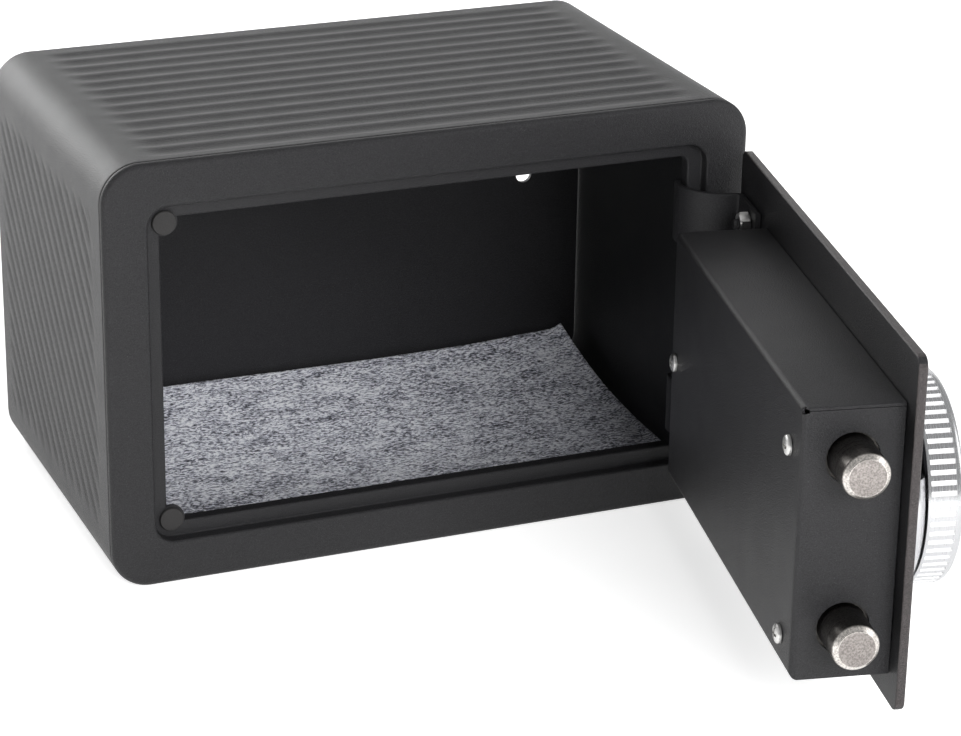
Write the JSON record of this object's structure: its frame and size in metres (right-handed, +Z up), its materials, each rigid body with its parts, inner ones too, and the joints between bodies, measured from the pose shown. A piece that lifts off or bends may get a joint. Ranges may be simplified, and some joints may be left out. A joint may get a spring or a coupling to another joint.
{
  "type": "portable safe",
  "caption": "Small rounded steel safe with a side-hung door standing open, round keypad knob, sliding locking bolts and a felt floor mat.",
  "frame": {"origin": "middle of the flat bottom of the body", "axes": "+Z up, the front with the door faces -Y, +X towards the hinge side"},
  "size_m": [0.31, 0.4571, 0.2],
  "materials": {
    "black_powder_coat": "fine-textured satin powder coat",
    "grey_felt": "heather needle felt",
    "black_rubber": "soft matt rubber",
    "zinc_plated_steel": "bright zinc plate",
    "bolt_steel": "turned steel, nickel plated at the tip",
    "coil_copper": "enamelled copper winding",
    "circuit_board": "green laminate",
    "satin_silver": "satin silver, brushed round",
    "black_plastic": "fine-grained moulding",
    "key_plastic": "soft keys with plain white numbers",
    "brass": "turned brass",
    "lamp_window": "tinted window over the lamps",
    "battery_wrap": "plain wrapped cells"
  },
  "bodies": {
    "safe_body": {"body_wrapper": "black_powder_coat", "back_panel": "black_powder_coat", "front_frame": "black_powder_coat", "floor_mat": "grey_felt", "bumper_pad_upper": "black_rubber", "bumper_pad_lower": "black_rubber", "hinge_bracket_upper": "black_powder_coat", "hinge_bracket_lower": "black_powder_coat", "hinge_pin_upper": "zinc_plated_steel", "hinge_pin_lower": "zinc_plated_steel"},
    "door": {"door_plate": "black_powder_coat", "hinge_strap_upper": "black_powder_coat", "hinge_strap_lower": "black_powder_coat", "hinge_nut_upper": "zinc_plated_steel", "hinge_nut_lower": "zinc_plated_steel", "lock_cover": "black_powder_coat", "cover_screw_1": "zinc_plated_steel", "cover_screw_2": "zinc_plated_steel", "cover_screw_3": "zinc_plated_steel", "bolt_guide_bracket": "zinc_plated_steel", "solenoid_frame": "zinc_plated_steel", "solenoid_coil": "coil_copper", "plunger_spring": "zinc_plated_steel", "lock_board": "circuit_board", "knob_base": "satin_silver", "knob_neck": "black_plastic", "base_screw_left": "zinc_plated_steel", "base_screw_right": "zinc_plated_steel", "spindle_bush": "brass"},
    "bolt_work": {"bolt_carriage": "zinc_plated_steel", "bolt_upper": "bolt_steel", "bolt_lower": "bolt_steel"},
    "knob": {"knob_ring": "satin_silver", "knob_head": "black_plastic", "keypad_face": "black_plastic", "lamp_lens": "lamp_window", "keypad_board": "circuit_board", "battery_tray": "black_plastic", "battery_1": "battery_wrap", "battery_2": "battery_wrap", "battery_3": "battery_wrap", "spindle": "zinc_plated_steel", "spindle_clip": "zinc_plated_steel", "cam": "zinc_plated_steel", "key_cylinder": "zinc_plated_steel"},
    "plunger": {"solenoid_plunger": "zinc_plated_steel"},
    "emergency_plug": {"key_plug": "brass"},
    "key_1": {"key_1": "key_plastic"},
    "key_2": {"key_2": "key_plastic"},
    "key_3": {"key_3": "key_plastic"},
    "key_4": {"key_4": "key_plastic"},
    "key_5": {"key_5": "key_plastic"},
    "key_6": {"key_6": "key_plastic"},
    "key_7": {"key_7": "key_plastic"},
    "key_8": {"key_8": "key_plastic"},
    "key_9": {"key_9": "key_plastic"},
    "key_10": {"key_10": "key_plastic"},
    "key_11": {"key_11": "key_plastic"},
    "key_12": {"key_12": "key_plastic"}
  },
  "joints": [
    {"name": "door_swing", "type": "hinge", "parent": "safe_body", "child": "door", "pos_m": [0.147, -0.083, 0.1], "axis": [0, 0, 1], "range_deg": [-78, 0]},
    {"name": "knob_turn", "type": "hinge", "parent": "door", "child": "knob", "pos_m": [0.11315, -0.28794, 0.0955], "axis": [-0.9781, 0.2079, 0], "range_deg": [0, 60]},
    {"name": "bolt_slide", "type": "slide", "parent": "door", "child": "bolt_work", "axis": [0.2079, 0.9781, 0], "range_m": [0, 0.0196]},
    {"name": "plunger_slide", "type": "slide", "parent": "door", "child": "plunger", "axis": [0, 0, -1], "range_m": [0, 0.005]},
    {"name": "emergency_plug_turn", "type": "hinge", "parent": "knob", "child": "emergency_plug", "pos_m": [0.13271, -0.2921, 0.0955], "axis": [-0.9781, 0.2079, 0], "range_deg": [0, 90]},
    {"name": "key_1_press", "type": "slide", "parent": "knob", "child": "key_1", "axis": [-0.9781, 0.2079, 0], "range_m": [0, 0.0005], "stiffness_N_per_m": 400, "springref_m": -0.0005},
    {"name": "key_2_press", "type": "slide", "parent": "knob", "child": "key_2", "axis": [-0.9781, 0.2079, 0], "range_m": [0, 0.0005], "stiffness_N_per_m": 400, "springref_m": -0.0005},
    {"name": "key_3_press", "type": "slide", "parent": "knob", "child": "key_3", "axis": [-0.9781, 0.2079, 0], "range_m": [0, 0.0005], "stiffness_N_per_m": 400, "springref_m": -0.0005},
    {"name": "key_4_press", "type": "slide", "parent": "knob", "child": "key_4", "axis": [-0.9781, 0.2079, 0], "range_m": [0, 0.0005], "stiffness_N_per_m": 400, "springref_m": -0.0005},
    {"name": "key_5_press", "type": "slide", "parent": "knob", "child": "key_5", "axis": [-0.9781, 0.2079, 0], "range_m": [0, 0.0005], "stiffness_N_per_m": 400, "springref_m": -0.0005},
    {"name": "key_6_press", "type": "slide", "parent": "knob", "child": "key_6", "axis": [-0.9781, 0.2079, 0], "range_m": [0, 0.0005], "stiffness_N_per_m": 400, "springref_m": -0.0005},
    {"name": "key_7_press", "type": "slide", "parent": "knob", "child": "key_7", "axis": [-0.9781, 0.2079, 0], "range_m": [0, 0.0005], "stiffness_N_per_m": 400, "springref_m": -0.0005},
    {"name": "key_8_press", "type": "slide", "parent": "knob", "child": "key_8", "axis": [-0.9781, 0.2079, 0], "range_m": [0, 0.0005], "stiffness_N_per_m": 400, "springref_m": -0.0005},
    {"name": "key_9_press", "type": "slide", "parent": "knob", "child": "key_9", "axis": [-0.9781, 0.2079, 0], "range_m": [0, 0.0005], "stiffness_N_per_m": 400, "springref_m": -0.0005},
    {"name": "key_10_press", "type": "slide", "parent": "knob", "child": "key_10", "axis": [-0.9781, 0.2079, 0], "range_m": [0, 0.0005], "stiffness_N_per_m": 400, "springref_m": -0.0005},
    {"name": "key_11_press", "type": "slide", "parent": "knob", "child": "key_11", "axis": [-0.9781, 0.2079, 0], "range_m": [0, 0.0005], "stiffness_N_per_m": 400, "springref_m": -0.0005},
    {"name": "key_12_press", "type": "slide", "parent": "knob", "child": "key_12", "axis": [-0.9781, 0.2079, 0], "range_m": [0, 0.0005], "stiffness_N_per_m": 400, "springref_m": -0.0005}
  ],
  "couplings": [
    {"joint": "bolt_slide", "follows": "knob_turn", "m_per_rad": 0.018621}
  ]
}
